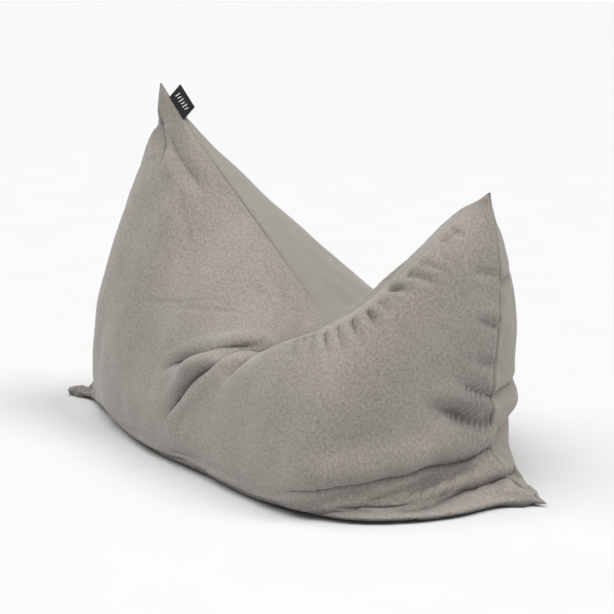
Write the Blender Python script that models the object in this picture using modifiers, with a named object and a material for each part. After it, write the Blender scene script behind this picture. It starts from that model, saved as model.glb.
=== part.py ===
"""Pillow bean bag: a two-panel cover on its long edge, a zipped liner and the bead filling.

The bag rests on the plane z = 0 with its long seam along X. Its front faces -Y, and a zipper runs
along its lower back. The middle of the top edge is pushed down into a seat, which leaves two ears.
"""

import math

import bmesh
import bpy
import numpy as np
from mathutils import Matrix, Vector

# Overall sizes, in metres.
LENGTH = 1.30               # between the two corners that lie on the floor
EAR_HEIGHT = 0.74           # top of the taller ear
REACH = 0.336               # furthest that either panel swells from the seam plane
CLOTH = 0.002               # thickness of the cover's cloth
LINER_CLOTH = 0.0015        # thickness of the liner's cloth
GAP = 0.0003                # clearance between pieces that touch
SEAM_GAP = 0.0024           # between the two panels' edges, where the seam thread runs
THREAD_RADIUS = 0.0007
THREAD_INSET = 0.005        # seam thread inside the cover's edges, clear of the label
LINER_THREAD_INSET = 0.0008
LINER_SCALE = 0.90          # liner against cover
FILL_SCALE = 0.85           # filling against cover
SCALE_CENTRE = (0.246, 0.095)  # point about which they shrink, as shares of half the length and of the ear

# Side label, sewn in the top seam below the taller ear.
LABEL_FROM_TIP = 0.040
LABEL_LENGTH = 0.061        # along the seam
LABEL_WIDTH = 0.041         # out of the seam
LABEL_TAIL = 0.0015         # caught between the panels
RIBBON = 0.0006

# Zippers. X runs along them and Y points out of the bag.
ZIP_HEIGHT = 0.105          # of the centre line above the floor
ZIP_LENGTH = 0.50
LINER_ZIP_LENGTH = 0.40
WALL_REACH = 0.965          # flat wall that holds the zipper, as a share of REACH
WALL_MARGIN = 0.060         # flat cloth round the zipper
WALL_BLEND = 0.090          # distance in which the flat cloth turns back into the curved panel
WALL_NEAR = (0.6, 0.82)     # swell, against the wall's, between which the panel turns into the wall
SLOT = 0.013
TAPE_WIDTH = 0.015
TAPE = 0.001
COIL_WIDTH = 0.003
COIL_DEPTH = 0.003
COIL_SPACE = 0.0015         # between the two coils
SLIDER_LENGTH = 0.012
SLIDER_HEIGHT = 0.0108
SLIDER_PLATE = 0.0012
SLIDER_FLANGE = 0.0010
END_SPACE = 0.008           # between the slider's last place and the end of the coil
STOP_LENGTH = 0.004
PATCH = (0.024, 0.032, 0.001)
PIN_RADIUS = 0.0007
PULL_EYE = 0.0017           # outer radius of the pull's eye
PULL_LENGTH = 0.030
PULL_WIDTH = 0.007
PULL_THICKNESS = 0.0012
LUG = 0.0010
CARE_LABEL = (0.036, 0.040, 0.0006)

# The seam loop, as shares of half the length and of the ear's height.
TOP_LEFT = [(-0.49, 1.0), (-0.33, 0.842), (-0.15, 0.686), (0.028, 0.532), (0.166, 0.413), (0.246, 0.350)]
TOP_RIGHT = [(0.246, 0.350), (0.315, 0.408), (0.403, 0.494), (0.546, 0.609), (0.665, 0.706), (0.78, 0.773)]
LEFT = [(-1.0, 0.0), (-0.87, 0.04), (-0.80, 0.226), (-0.735, 0.455), (-0.635, 0.676), (-0.53, 0.853),
        (-0.49, 1.0)]
RIGHT = [(1.0, 0.0), (0.87, 0.04), (0.80, 0.135), (0.80, 0.27), (0.817, 0.457), (0.812, 0.61), (0.78, 0.773)]

# How far each panel swells, along the bag from the left seam (0) to the right seam (1).
FRONT_SWELL = [(0, 0.0), (0.04, 0.24), (0.12, 0.43), (0.25, 0.60), (0.4, 0.75), (0.5, 0.83), (0.6, 0.90),
               (0.75, 1.0), (0.86, 0.98), (0.93, 0.68), (0.97, 0.36), (1, 0.0)]
BACK_SWELL = [(0, 0.0), (0.04, 0.40), (0.12, 0.73), (0.25, 0.94), (0.4, 1.0), (0.5, 1.0), (0.6, 0.97),
              (0.75, 0.89), (0.88, 0.68), (0.95, 0.47), (0.975, 0.32), (1, 0.0)]

# Squareness of each panel's section: 2 is round, more is boxy, less comes to an edge.
FRONT_TOP = [(0, 1.3), (0.12, 1.5), (0.3, 1.8), (0.44, 3.4), (0.5, 6.0), (0.56, 5.5), (0.65, 3.4), (0.8, 2.0),
             (1, 1.5)]
BACK_TOP = [(0, 1.5), (0.12, 1.8), (0.3, 2.4), (0.44, 3.6), (0.5, 4.5), (0.6, 3.5), (0.75, 2.2), (1, 1.6)]
FRONT_BASE = [(0, 2.0), (0.12, 2.2), (0.3, 2.8), (0.5, 3.2), (0.75, 3.8), (1, 3.2)]
BACK_BASE = [(0, 2.6), (0.3, 3.0), (0.5, 3.2), (0.75, 3.2), (1, 2.6)]
WAIST = 0.36                # height of the widest line, as a share of the section's height
SEAT_WAIST = 0.22           # extra height of that line at the front of the seat
SEAT_WIDTH = 0.09
FULL_SWELL = 0.2            # swell at which a section is fully round
FLOOR_FLAT = 0.01           # lowest share of a section below the waist, which is pressed flat on the floor

# Trough that runs from the seat up the inside of the lower ear, behind the front panel's shoulder.
SEAT_SINK = 0.050           # deepest drop of the cloth
SINK_ALONG = [(0, 0.0), (0.5, 0.0), (0.54, 0.05), (0.58, 0.35), (0.62, 0.72), (0.66, 0.9), (0.70, 1.0),
              (0.74, 1.0), (0.78, 0.82), (0.82, 0.5), (0.86, 0.24), (0.90, 0.17), (0.95, 0.08), (1, 0.0)]
SINK_UP = [(0, 0.0), (0.70, 0.0), (0.75, 0.16), (0.79, 0.5), (0.83, 0.78), (0.86, 0.94), (0.9, 1.0),
           (0.94, 0.94), (0.98, 0.58), (1, 0.0)]

# Loose cloth of the cover that lies on the floor in front of the right corner.
FLAP_DIRECTION = (0.86, -0.51)
FLAP_REACH = [(0, 0.0), (0.76, 0.0), (0.80, 0.015), (0.84, 0.044), (0.87, 0.056), (0.90, 0.056),
              (0.93, 0.050), (0.96, 0.042), (0.98, 0.026), (1, 0.0)]
FLAP_TOP = [(0, 0.020), (0.90, 0.020), (0.95, 0.030), (1, 0.045)]

WALL = REACH * WALL_REACH


def clear_scene():
    for thing in list(bpy.data.objects):
        bpy.data.objects.remove(thing, do_unlink=True)


def collection(name, hidden=False):
    group = bpy.data.collections.new(name)
    bpy.context.scene.collection.children.link(group)
    group.hide_render = hidden
    return group


def material(name, colour, roughness, metallic=0.0):
    result = bpy.data.materials.new(name)
    result.use_nodes = True
    shader = result.node_tree.nodes["Principled BSDF"]
    shader.inputs["Base Color"].default_value = (*colour, 1.0)
    shader.inputs["Roughness"].default_value = roughness
    shader.inputs["Metallic"].default_value = metallic
    return result


def keep(thing, name, group, look):
    """Name an object, give it its material and put it in its collection."""
    thing.name = name
    for old in list(thing.users_collection):
        old.objects.unlink(thing)
    group.objects.link(thing)
    thing.data.materials.clear()
    thing.data.materials.append(look)
    return thing


# ---- the bag's surface ----


def hermite(knots, values, where):
    """Smooth curve through values at knots."""
    slopes = np.gradient(values, knots, axis=0)
    cell = np.clip(np.searchsorted(knots, where, side="right") - 1, 0, len(knots) - 2)
    width = knots[cell + 1] - knots[cell]
    share = (where - knots[cell]) / width
    if values.ndim == 2:
        width = width[..., None]
        share = share[..., None]
    square = share ** 2
    cube = share ** 3
    return ((2 * cube - 3 * square + 1) * values[cell] + (cube - 2 * square + share) * width * slopes[cell]
            + (3 * square - 2 * cube) * values[cell + 1] + (cube - square) * width * slopes[cell + 1])


def table(rows, where):
    rows = np.asarray(rows, float)
    return hermite(rows[:, 0], rows[:, 1], np.asarray(where, float))


def edge(points, where):
    """Point at a share of the length of a seam, in metres in the seam plane."""
    points = np.asarray(points, float) * (LENGTH / 2, EAR_HEIGHT)
    steps = np.linalg.norm(np.diff(points, axis=0), axis=1)
    knots = np.concatenate(([0.0], np.cumsum(steps))) / steps.sum()
    return hermite(knots, points, np.asarray(where, float))


def top_edge(u):
    left = edge(TOP_LEFT, np.clip(2 * u, 0, 1))
    right = edge(TOP_RIGHT, np.clip(2 * u - 1, 0, 1))
    return np.where((u < 0.5)[..., None], left, right)


def bottom_edge(u):
    return np.stack([LENGTH * (u - 0.5), np.zeros_like(u)], -1)


def section(v, base, top, waist):
    """Swell and height along one section, from the floor seam (0) over the waist to the top seam (1)."""
    lower = v < 0.5
    angle = np.where(lower, v, 1 - v) * math.pi
    power = 2 / np.where(lower, base, top)
    swell = np.sin(angle).clip(0) ** power
    rise = np.cos(angle).clip(0) ** power
    lifted = np.maximum(1 - rise - FLOOR_FLAT, 0) / (1 - FLOOR_FLAT)
    return swell, np.where(lower, waist * lifted, waist + (1 - waist) * rise)


def coons(u, s):
    """Point in the seam plane that the four seams carry to (u, s)."""
    across = u[..., None]
    up = s[..., None]
    corners = [np.array(p) * (LENGTH / 2, EAR_HEIGHT) for p in (LEFT[0], RIGHT[0], LEFT[-1], RIGHT[-1])]
    flat = ((1 - across) * (1 - up) * corners[0] + across * (1 - up) * corners[1]
            + (1 - across) * up * corners[2] + across * up * corners[3])
    return ((1 - up) * bottom_edge(u) + up * top_edge(u) + (1 - across) * edge(LEFT, s)
            + across * edge(RIGHT, s) - flat)


def smooth(share):
    share = np.clip(share, 0, 1)
    return share * share * (3 - 2 * share)


def surface(u, v, side, scale=1.0, zip_length=ZIP_LENGTH):
    """Inner face of a panel (side -1 front, 1 back) at shares u along the bag and v round its section."""
    front = side < 0
    swell = REACH * table(FRONT_SWELL if front else BACK_SWELL, u)
    seat = np.exp(-((u - 0.5) / SEAT_WIDTH) ** 2) if front else 0.0
    out, rise = section(v, table(FRONT_BASE if front else BACK_BASE, u),
                        table(FRONT_TOP if front else BACK_TOP, u), WAIST + SEAT_WAIST * seat)
    full = np.clip(swell / FULL_SWELL, 0, 1)
    rise = v * (1 - full) + rise * full
    lean = 0.6 if front else 0.4
    x = coons(u, lean * v + (1 - lean) * rise)[..., 0]
    z = coons(u, rise)[..., 1].clip(0)
    y = side * swell * out
    if front:
        z = z - SEAT_SINK * table(SINK_ALONG, u).clip(0) * table(SINK_UP, v).clip(0)
    if front and scale == 1.0:
        lie = table(FLAP_REACH, u).clip(0) * smooth(v / 0.2) * smooth(1 - z / table(FLAP_TOP, u)) * (v < 0.5)
        x = x + lie * FLAP_DIRECTION[0]
        y = y + lie * FLAP_DIRECTION[1]
    centre = np.array(SCALE_CENTRE) * (LENGTH / 2, EAR_HEIGHT)
    x = centre[0] + scale * (x - centre[0])
    y = scale * y
    z = centre[1] + scale * (z - centre[1])
    if not front:
        past = np.hypot(np.maximum(abs(x) - zip_length / 2, 0), z - ZIP_HEIGHT)
        near = smooth((y / (WALL * scale) - WALL_NEAR[0]) / (WALL_NEAR[1] - WALL_NEAR[0]))
        flat = near * smooth(1 - (past - WALL_MARGIN) / WALL_BLEND)
        y = y + (WALL * scale - y) * flat
    return np.stack([x, y + side * SEAM_GAP / 2, z + CLOTH], -1)


def spread(count):
    """Shares round a section, drawn together at its seams and at its waist, where the zipper's wall is."""
    even = np.linspace(0, 1, count + 1)
    return even - 0.045 * np.sin(4 * math.pi * even)


def sheet(name, side, scale, columns, rows, zip_length):
    """Grid laid over one side of the bag, its faces pointing out."""
    grid = bmesh.new()
    bmesh.ops.create_grid(grid, x_segments=columns, y_segments=rows, size=1)
    along = np.linspace(0, 1, columns + 1)
    round_section = spread(rows)
    for vertex in grid.verts:
        column = round((vertex.co.x + 1) / 2 * columns)
        row = round((vertex.co.y + 1) / 2 * rows)
        vertex.co = surface(np.array(along[column]), np.array(round_section[row]), side, scale, zip_length)
    if side > 0:
        bmesh.ops.reverse_faces(grid, faces=grid.faces)
    mesh = bpy.data.meshes.new(name)
    grid.to_mesh(mesh)
    grid.free()
    return bpy.data.objects.new(name, mesh)


def panel(name, side, scale, cloth, columns, rows, zip_length, group, look):
    thing = keep(sheet(name, side, scale, columns, rows, zip_length), name, group, look)
    thing.data.shade_smooth()
    solid = thing.modifiers.new("cloth", "SOLIDIFY")
    solid.thickness = cloth
    solid.offset = 1.0
    return thing


def filling(name, scale, columns, rows, group, look):
    """Closed body of beads: both sides sewn into one skin at the seam."""
    joined = bmesh.new()
    for side in (-1, 1):
        half = sheet(name, side, scale, columns, rows, LINER_ZIP_LENGTH)
        joined.from_mesh(half.data)
        bpy.data.objects.remove(half, do_unlink=True)
    for vertex in joined.verts:
        if abs(vertex.co.y) <= SEAM_GAP:
            vertex.co.y -= math.copysign(SEAM_GAP / 2, vertex.co.y)
    bmesh.ops.remove_doubles(joined, verts=joined.verts, dist=0.0001)
    mesh = bpy.data.meshes.new(name)
    joined.to_mesh(mesh)
    joined.free()
    mesh.shade_smooth()
    return keep(bpy.data.objects.new(name, mesh), name, group, look)


def seam_loop(scale, steps=22):
    """The seam, anticlockwise from the left floor corner, as points in the seam plane."""
    share = np.linspace(0, 1, steps + 1)[:-1]
    half = np.linspace(0, 1, steps // 2 + 1)[:-1]
    loop = np.concatenate([bottom_edge(share), edge(RIGHT, half), top_edge(1 - share), edge(LEFT, 1 - half)])
    centre = np.array(SCALE_CENTRE) * (LENGTH / 2, EAR_HEIGHT)
    return centre + scale * (loop - centre) + (0, CLOTH)


def inset(loop, depth):
    """Closed loop moved inwards, square to its sides."""
    before = loop - np.roll(loop, 1, axis=0)
    after = np.roll(before, -1, axis=0)
    before = before / np.linalg.norm(before, axis=1)[:, None]
    after = after / np.linalg.norm(after, axis=1)[:, None]
    inward = np.stack([-(before + after)[:, 1], (before + after)[:, 0]], -1)
    inward = inward / np.linalg.norm(inward, axis=1)[:, None]
    turn = np.sqrt((1 + (before * after).sum(axis=1)).clip(0.02) / 2)
    return loop + inward * (depth / turn)[:, None]


def thread(name, scale, depth, group, look):
    curve = bpy.data.curves.new(name, "CURVE")
    curve.dimensions = "3D"
    curve.bevel_depth = THREAD_RADIUS
    curve.bevel_resolution = 0
    route = inset(seam_loop(scale), depth)
    line = curve.splines.new("POLY")
    line.points.add(len(route) - 1)
    for point, (x, z) in zip(line.points, route):
        point.co = (x, 0, z, 1)
    line.use_cyclic_u = True
    return keep(bpy.data.objects.new(name, curve), name, group, look)


# ---- small pieces ----


def box(name, low, high, group, look, round_edge=0.0):
    low = Vector(low)
    high = Vector(high)
    shape = bmesh.new()
    bmesh.ops.create_cube(shape, size=1)
    bmesh.ops.scale(shape, vec=high - low, verts=shape.verts)
    mesh = bpy.data.meshes.new(name)
    shape.to_mesh(mesh)
    shape.free()
    thing = keep(bpy.data.objects.new(name, mesh), name, group, look)
    thing.location = (low + high) / 2
    if round_edge:
        bevel = thing.modifiers.new("edge", "BEVEL")
        bevel.width = round_edge
        bevel.segments = 1
    return thing


def rod(name, low, high, group, look):
    """Round-sectioned rod along X that fills a box."""
    low = Vector(low)
    high = Vector(high)
    shape = bmesh.new()
    bmesh.ops.create_cone(shape, cap_ends=True, segments=12, radius1=0.5, radius2=0.5, depth=1)
    bmesh.ops.rotate(shape, verts=shape.verts, matrix=Matrix.Rotation(math.pi / 2, 3, "Y"))
    bmesh.ops.scale(shape, vec=high - low, verts=shape.verts)
    mesh = bpy.data.meshes.new(name)
    shape.to_mesh(mesh)
    shape.free()
    mesh.shade_smooth()
    thing = keep(bpy.data.objects.new(name, mesh), name, group, look)
    thing.location = (low + high) / 2
    return thing


def combine(thing, others, operation="UNION"):
    """Boolean that stays on the object; the other shapes are its cutters."""
    for other in others:
        other.display_type = "WIRE"
        other.hide_render = True
        step = thing.modifiers.new(other.name, "BOOLEAN")
        step.operation = operation
        step.object = other
    return thing


def zipper(prefix, wall, length, parts, cutters, looks, with_pull):
    """Zipper behind the slot in a flat wall whose inner face is at y = wall."""
    middle = ZIP_HEIGHT
    tape_out = wall - GAP
    tape_in = tape_out - TAPE
    coil_out = (tape_out + tape_in + COIL_DEPTH) / 2
    coil_in = coil_out - COIL_DEPTH
    coil_far = COIL_SPACE / 2 + COIL_WIDTH
    tape_near = coil_far + GAP
    for word, sign in (("upper", 1), ("lower", -1)):
        heights = sorted((middle + sign * tape_near, middle + sign * (tape_near + TAPE_WIDTH)))
        box(f"{prefix}_{word}_tape", (-length / 2 - STOP_LENGTH * 2, tape_in, heights[0]),
            (length / 2 + STOP_LENGTH * 2, tape_out, heights[1]), parts, looks["tape"])
        heights = sorted((middle + sign * COIL_SPACE / 2, middle + sign * coil_far))
        rod(f"{prefix}_{word}_coil", (-length / 2, coil_in, heights[0]), (length / 2, coil_out, heights[1]),
            parts, looks["coil"])
    stop_start = length / 2 + GAP
    for word, sign in (("closed_end", 1), ("open_end", -1)):
        ends = sorted((sign * stop_start, sign * (stop_start + STOP_LENGTH)))
        box(f"{prefix}_{word}_stop", (ends[0], coil_in, middle - coil_far),
            (ends[1], coil_out, middle + coil_far), parts, looks["metal"], 0.0004)
    slider(prefix, coil_in - GAP, coil_out + GAP, tape_in - GAP, tape_out + GAP, length, parts, cutters,
           looks, with_pull)


def slider(prefix, channel_in, channel_out, tape_in, tape_out, length, parts, cutters, looks, with_pull):
    """Two plates joined by a neck between the coils, with flanges that hold the coils in."""
    x = length / 2 - END_SPACE - SLIDER_LENGTH / 2
    z = ZIP_HEIGHT
    half = SLIDER_LENGTH / 2
    tall = SLIDER_HEIGHT / 2
    plate_out = channel_out + SLIDER_PLATE
    body = box(f"{prefix}_slider", (x - half, channel_out, z - tall),
               (x + half, plate_out, z + tall), parts, looks["metal"])
    joined = [
        box(f"{prefix}_slider_inner_plate", (x - half, channel_in - SLIDER_PLATE, z - tall),
            (x + half, channel_in, z + tall), cutters, looks["metal"]),
        box(f"{prefix}_slider_neck",
            (x - half / 3, channel_in - SLIDER_PLATE / 2, z - COIL_SPACE / 2 + GAP),
            (x + half / 3, channel_out + SLIDER_PLATE / 2, z + COIL_SPACE / 2 - GAP),
            cutters, looks["metal"]),
    ]
    flange_near = COIL_SPACE / 2 + COIL_WIDTH + GAP
    for word, sign in (("upper", 1), ("lower", -1)):
        heights = sorted((z + sign * flange_near, z + sign * (tall - GAP)))
        joined.append(box(f"{prefix}_slider_outer_{word}_flange", (x - half + GAP, tape_out, heights[0]),
                          (x + half - GAP, channel_out + SLIDER_PLATE / 2, heights[1]),
                          cutters, looks["metal"]))
        joined.append(box(f"{prefix}_slider_inner_{word}_flange",
                          (x - half + GAP, channel_in - SLIDER_PLATE / 2, heights[0]),
                          (x + half - GAP, tape_in, heights[1]), cutters, looks["metal"]))
    if with_pull:
        joined += pull(prefix, Vector((x, plate_out + PULL_EYE + GAP, z)), plate_out, parts, cutters, looks)
    combine(body, joined)


def disc(name, centre, radius, height, group, look, segments=20):
    """Cylinder on an axis along Z."""
    shape = bmesh.new()
    bmesh.ops.create_cone(shape, cap_ends=True, segments=segments, radius1=radius, radius2=radius,
                          depth=height)
    mesh = bpy.data.meshes.new(name)
    shape.to_mesh(mesh)
    shape.free()
    thing = keep(bpy.data.objects.new(name, mesh), name, group, look)
    thing.location = centre
    return thing


def pull(prefix, pivot, plate_out, parts, cutters, looks):
    """Pull tab on its pin, lying along the zipper; gives back the slider's lugs and pin."""
    eye = disc(f"{prefix}_pull", pivot, PULL_EYE, PULL_WIDTH / 2, parts, looks["metal"])
    tongue_half = PULL_WIDTH / 2
    start = PULL_EYE + LUG
    neck = box(f"{prefix}_pull_neck", (-start - 0.002, -PULL_THICKNESS / 2, -PULL_WIDTH / 4 + 0.0002),
               (-PIN_RADIUS, PULL_THICKNESS / 2, PULL_WIDTH / 4 - 0.0002), cutters, looks["metal"])
    tongue = box(f"{prefix}_pull_tongue", (-PULL_LENGTH, -PULL_THICKNESS / 2, -tongue_half),
                 (-start - 0.001, PULL_THICKNESS / 2, tongue_half), cutters, looks["metal"])
    hole = disc(f"{prefix}_pull_hole", pivot, PIN_RADIUS + GAP, PULL_WIDTH, cutters, looks["metal"])
    for shape in (neck, tongue):
        shape.location += pivot
    combine(eye, [neck, tongue])
    combine(eye, [hole], "DIFFERENCE")
    reach = PULL_WIDTH / 4 + GAP
    shapes = [disc(f"{prefix}_slider_pin", pivot, PIN_RADIUS, 2 * reach + LUG, cutters, looks["metal"], 16)]
    for word, sign in (("upper", 1), ("lower", -1)):
        heights = sorted((pivot.z + sign * reach, pivot.z + sign * (reach + LUG)))
        shapes.append(box(f"{prefix}_slider_{word}_lug",
                          (pivot.x - PULL_EYE, plate_out - SLIDER_PLATE / 2, heights[0]),
                          (pivot.x + PULL_EYE, pivot.y + PIN_RADIUS * 1.8, heights[1]),
                          cutters, looks["metal"]))
    return shapes


def side_label(group, look):
    """Ribbon folded double, its ends caught in the seam and its fold pointing out."""
    shares = np.linspace(0, 0.5, 200)
    route = top_edge(shares)
    run = np.concatenate(([0.0], np.cumsum(np.linalg.norm(np.diff(route, axis=0), axis=1))))
    ends = [np.array([np.interp(s, run, route[:, k]) for k in (0, 1)])
            for s in (LABEL_FROM_TIP, LABEL_FROM_TIP + LABEL_LENGTH)]
    middle = (ends[0] + ends[1]) / 2
    along = (ends[1] - ends[0]) / np.linalg.norm(ends[1] - ends[0])
    out = Vector((-along[1], 0, along[0]))
    half = RIBBON * 4 / 3
    hollow = half - RIBBON
    turn = np.linspace(-math.pi / 2, math.pi / 2, 9)
    bend = LABEL_WIDTH - half
    outline = [(-LABEL_TAIL, -half)]
    outline += [(bend + half * math.cos(a), half * math.sin(a)) for a in turn]
    outline += [(-LABEL_TAIL, half), (-LABEL_TAIL, hollow)]
    outline += [(bend + hollow * math.cos(a), hollow * math.sin(a)) for a in turn[::-2]]
    outline += [(-LABEL_TAIL, -hollow)]
    curve = bpy.data.curves.new("side_label", "CURVE")
    curve.dimensions = "2D"
    curve.fill_mode = "BOTH"
    curve.extrude = LABEL_LENGTH / 2
    line = curve.splines.new("POLY")
    line.points.add(len(outline) - 1)
    for point, (x, y) in zip(line.points, outline):
        point.co = (x, y, 0, 1)
    line.use_cyclic_u = True
    thing = keep(bpy.data.objects.new("side_label", curve), "side_label", group, look)
    across = Vector((0, 1, 0))
    axes = Matrix((out, across, out.cross(across))).transposed().to_4x4()
    thing.matrix_world = Matrix.Translation((middle[0], 0, middle[1] + CLOTH)) @ axes
    return thing


def slot(name, wall, length, panel_object, cutters, look):
    """Opening for the zipper, cut through a panel's flat wall."""
    half = length / 2 + STOP_LENGTH + 2 * GAP
    cutter = box(name, (-half, wall - 0.01, ZIP_HEIGHT - SLOT / 2),
                 (half, wall + 0.01, ZIP_HEIGHT + SLOT / 2), cutters, look)
    combine(panel_object, [cutter], "DIFFERENCE")


def centre_on_origin(panels, groups):
    """Move everything so that the cover's box stands centred on the origin."""
    bpy.context.view_layer.update()
    evaluated = bpy.context.evaluated_depsgraph_get()
    solids = [piece.evaluated_get(evaluated) for piece in panels]
    corners = [thing.matrix_world @ Vector(corner) for thing in solids for corner in thing.bound_box]
    middle = [(min(c[k] for c in corners) + max(c[k] for c in corners)) / 2 for k in (0, 1)]
    for group in groups:
        for thing in group.objects:
            thing.location.x -= middle[0]
            thing.location.y -= middle[1]


def main():
    clear_scene()
    parts = collection("bean_bag")
    cutters = collection("cutters", hidden=True)
    cover = material("cover_cloth", (0.37, 0.34, 0.31), 0.95)
    smooth_cloth = material("cover_back_cloth", (0.39, 0.36, 0.32), 0.9)
    sewing = material("sewing_thread", (0.20, 0.18, 0.165), 0.8)
    ribbon = material("label_ribbon", (0.012, 0.012, 0.014), 0.7)
    white_ribbon = material("care_ribbon", (0.8, 0.8, 0.78), 0.6)
    liner = material("liner_cloth", (0.82, 0.82, 0.80), 0.85)
    beads = material("beads", (0.9, 0.9, 0.89), 0.7)
    looks = {
        "tape": material("zipper_tape", (0.16, 0.15, 0.14), 0.85),
        "coil": material("zipper_coil", (0.10, 0.095, 0.09), 0.45),
        "metal": material("zipper_metal", (0.32, 0.31, 0.30), 0.35, 1.0),
    }

    front = panel("cover_front_panel", -1, 1.0, CLOTH, 30, 24, ZIP_LENGTH, parts, cover)
    back = panel("cover_back_panel", 1, 1.0, CLOTH, 30, 26, ZIP_LENGTH, parts, smooth_cloth)
    slot("cover_slot", WALL + SEAM_GAP / 2, ZIP_LENGTH, back, cutters, cover)
    thread("cover_seam_thread", 1.0, THREAD_INSET, parts, sewing)
    zipper("cover_zipper", WALL + SEAM_GAP / 2, ZIP_LENGTH, parts, cutters, looks, True)

    liner_wall = WALL * LINER_SCALE + SEAM_GAP / 2
    panel("liner_front_panel", -1, LINER_SCALE, LINER_CLOTH, 18, 16, LINER_ZIP_LENGTH, parts, liner)
    liner_back = panel("liner_back_panel", 1, LINER_SCALE, LINER_CLOTH, 18, 20, LINER_ZIP_LENGTH,
                       parts, liner)
    slot("liner_slot", liner_wall, LINER_ZIP_LENGTH, liner_back, cutters, liner)
    thread("liner_seam_thread", LINER_SCALE, LINER_THREAD_INSET, parts, sewing)
    zipper("liner_zipper", liner_wall, LINER_ZIP_LENGTH, parts, cutters, looks, False)
    filling("bead_filling", FILL_SCALE, 18, 16, parts, beads)

    patch_out = WALL + SEAM_GAP / 2 + CLOTH + GAP
    patch_start = ZIP_LENGTH / 2 - GAP
    for word, sign in (("left", -1), ("right", 1)):
        ends = sorted((sign * patch_start, sign * (patch_start + PATCH[0])))
        box(f"zipper_{word}_patch", (ends[0], patch_out, ZIP_HEIGHT - PATCH[1] / 2),
            (ends[1], patch_out + PATCH[2], ZIP_HEIGHT + PATCH[1] / 2), parts, cover)
    tag_out = WALL + SEAM_GAP / 2 - 2 * GAP - TAPE
    tag_x = -ZIP_LENGTH / 5
    tag_top = ZIP_HEIGHT - SLIDER_HEIGHT / 2 - 2 * GAP
    box("care_label", (tag_x - CARE_LABEL[0] / 2, tag_out - CARE_LABEL[2], tag_top - CARE_LABEL[1]),
        (tag_x + CARE_LABEL[0] / 2, tag_out, tag_top), parts, white_ribbon)
    side_label(parts, ribbon)
    centre_on_origin((front, back), (parts, cutters))


main()
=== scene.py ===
"""Looks of the pillow bean bag: sculpted and simulated cloth, seams, zipper, label, floor and light."""

import math

import bmesh
import bpy
import numpy as np
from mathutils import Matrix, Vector


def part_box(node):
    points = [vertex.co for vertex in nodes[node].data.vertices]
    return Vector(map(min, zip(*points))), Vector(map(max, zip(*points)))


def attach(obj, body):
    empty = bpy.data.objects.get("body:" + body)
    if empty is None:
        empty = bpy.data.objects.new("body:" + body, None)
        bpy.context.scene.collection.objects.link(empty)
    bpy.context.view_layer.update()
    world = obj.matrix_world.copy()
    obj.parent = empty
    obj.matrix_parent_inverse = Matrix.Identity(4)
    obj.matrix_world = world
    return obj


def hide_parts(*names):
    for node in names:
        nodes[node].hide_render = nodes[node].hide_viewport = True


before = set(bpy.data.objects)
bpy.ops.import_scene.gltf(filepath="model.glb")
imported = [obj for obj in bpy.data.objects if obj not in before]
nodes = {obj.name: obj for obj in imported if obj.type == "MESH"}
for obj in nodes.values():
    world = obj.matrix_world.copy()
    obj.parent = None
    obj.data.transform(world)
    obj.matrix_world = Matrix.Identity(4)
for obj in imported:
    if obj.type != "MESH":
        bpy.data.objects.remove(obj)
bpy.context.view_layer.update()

# ---- the bag's surface, as in the CAD ----

LENGTH = 1.30
EAR_HEIGHT = 0.74
REACH = 0.336
CLOTH = 0.002
ZIP_HEIGHT = 0.105
ZIP_LENGTH = 0.50
SLOT = 0.013
SLOT_SPARE = 0.0046
WALL_REACH = 0.965
WALL_MARGIN = 0.060
WALL_BLEND = 0.090
WALL_NEAR = (0.6, 0.82)
SEAM_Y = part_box("cover_front_panel")[1].y + 0.0012
TOP_LEFT = [(-0.49, 1.0), (-0.33, 0.842), (-0.15, 0.686), (0.028, 0.532), (0.166, 0.413), (0.246, 0.350)]
TOP_RIGHT = [(0.246, 0.350), (0.315, 0.408), (0.403, 0.494), (0.546, 0.609), (0.665, 0.706), (0.78, 0.773)]
LEFT = [(-1.0, 0.0), (-0.87, 0.04), (-0.80, 0.226), (-0.735, 0.455), (-0.635, 0.676), (-0.53, 0.853),
        (-0.49, 1.0)]
RIGHT = [(1.0, 0.0), (0.87, 0.04), (0.80, 0.135), (0.80, 0.27), (0.817, 0.457), (0.812, 0.61), (0.78, 0.773)]
FRONT_SWELL = [(0, 0.0), (0.04, 0.24), (0.12, 0.43), (0.25, 0.60), (0.4, 0.75), (0.5, 0.83), (0.6, 0.90),
               (0.75, 1.0), (0.86, 0.98), (0.93, 0.68), (0.97, 0.36), (1, 0.0)]
BACK_SWELL = [(0, 0.0), (0.04, 0.40), (0.12, 0.73), (0.25, 0.94), (0.4, 1.0), (0.5, 1.0), (0.6, 0.97),
              (0.75, 0.89), (0.88, 0.68), (0.95, 0.47), (0.975, 0.32), (1, 0.0)]
FRONT_TOP = [(0, 1.3), (0.12, 1.5), (0.3, 1.8), (0.44, 3.4), (0.5, 6.0), (0.56, 5.5), (0.65, 3.4), (0.8, 2.0),
             (1, 1.5)]
BACK_TOP = [(0, 1.5), (0.12, 1.8), (0.3, 2.4), (0.44, 3.6), (0.5, 4.5), (0.6, 3.5), (0.75, 2.2), (1, 1.6)]
FRONT_BASE = [(0, 2.0), (0.12, 2.2), (0.3, 2.8), (0.5, 3.2), (0.75, 3.8), (1, 3.2)]
BACK_BASE = [(0, 2.6), (0.3, 3.0), (0.5, 3.2), (0.75, 3.2), (1, 2.6)]
WAIST = 0.36
SEAT_WAIST = 0.22
SEAT_WIDTH = 0.09
FULL_SWELL = 0.2
FLOOR_FLAT = 0.01
SEAT_SINK = 0.050
SINK_ALONG = [(0, 0.0), (0.5, 0.0), (0.54, 0.05), (0.58, 0.35), (0.62, 0.72), (0.66, 0.9), (0.70, 1.0),
              (0.74, 1.0), (0.78, 0.82), (0.82, 0.5), (0.86, 0.24), (0.90, 0.17), (0.95, 0.08), (1, 0.0)]
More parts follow.
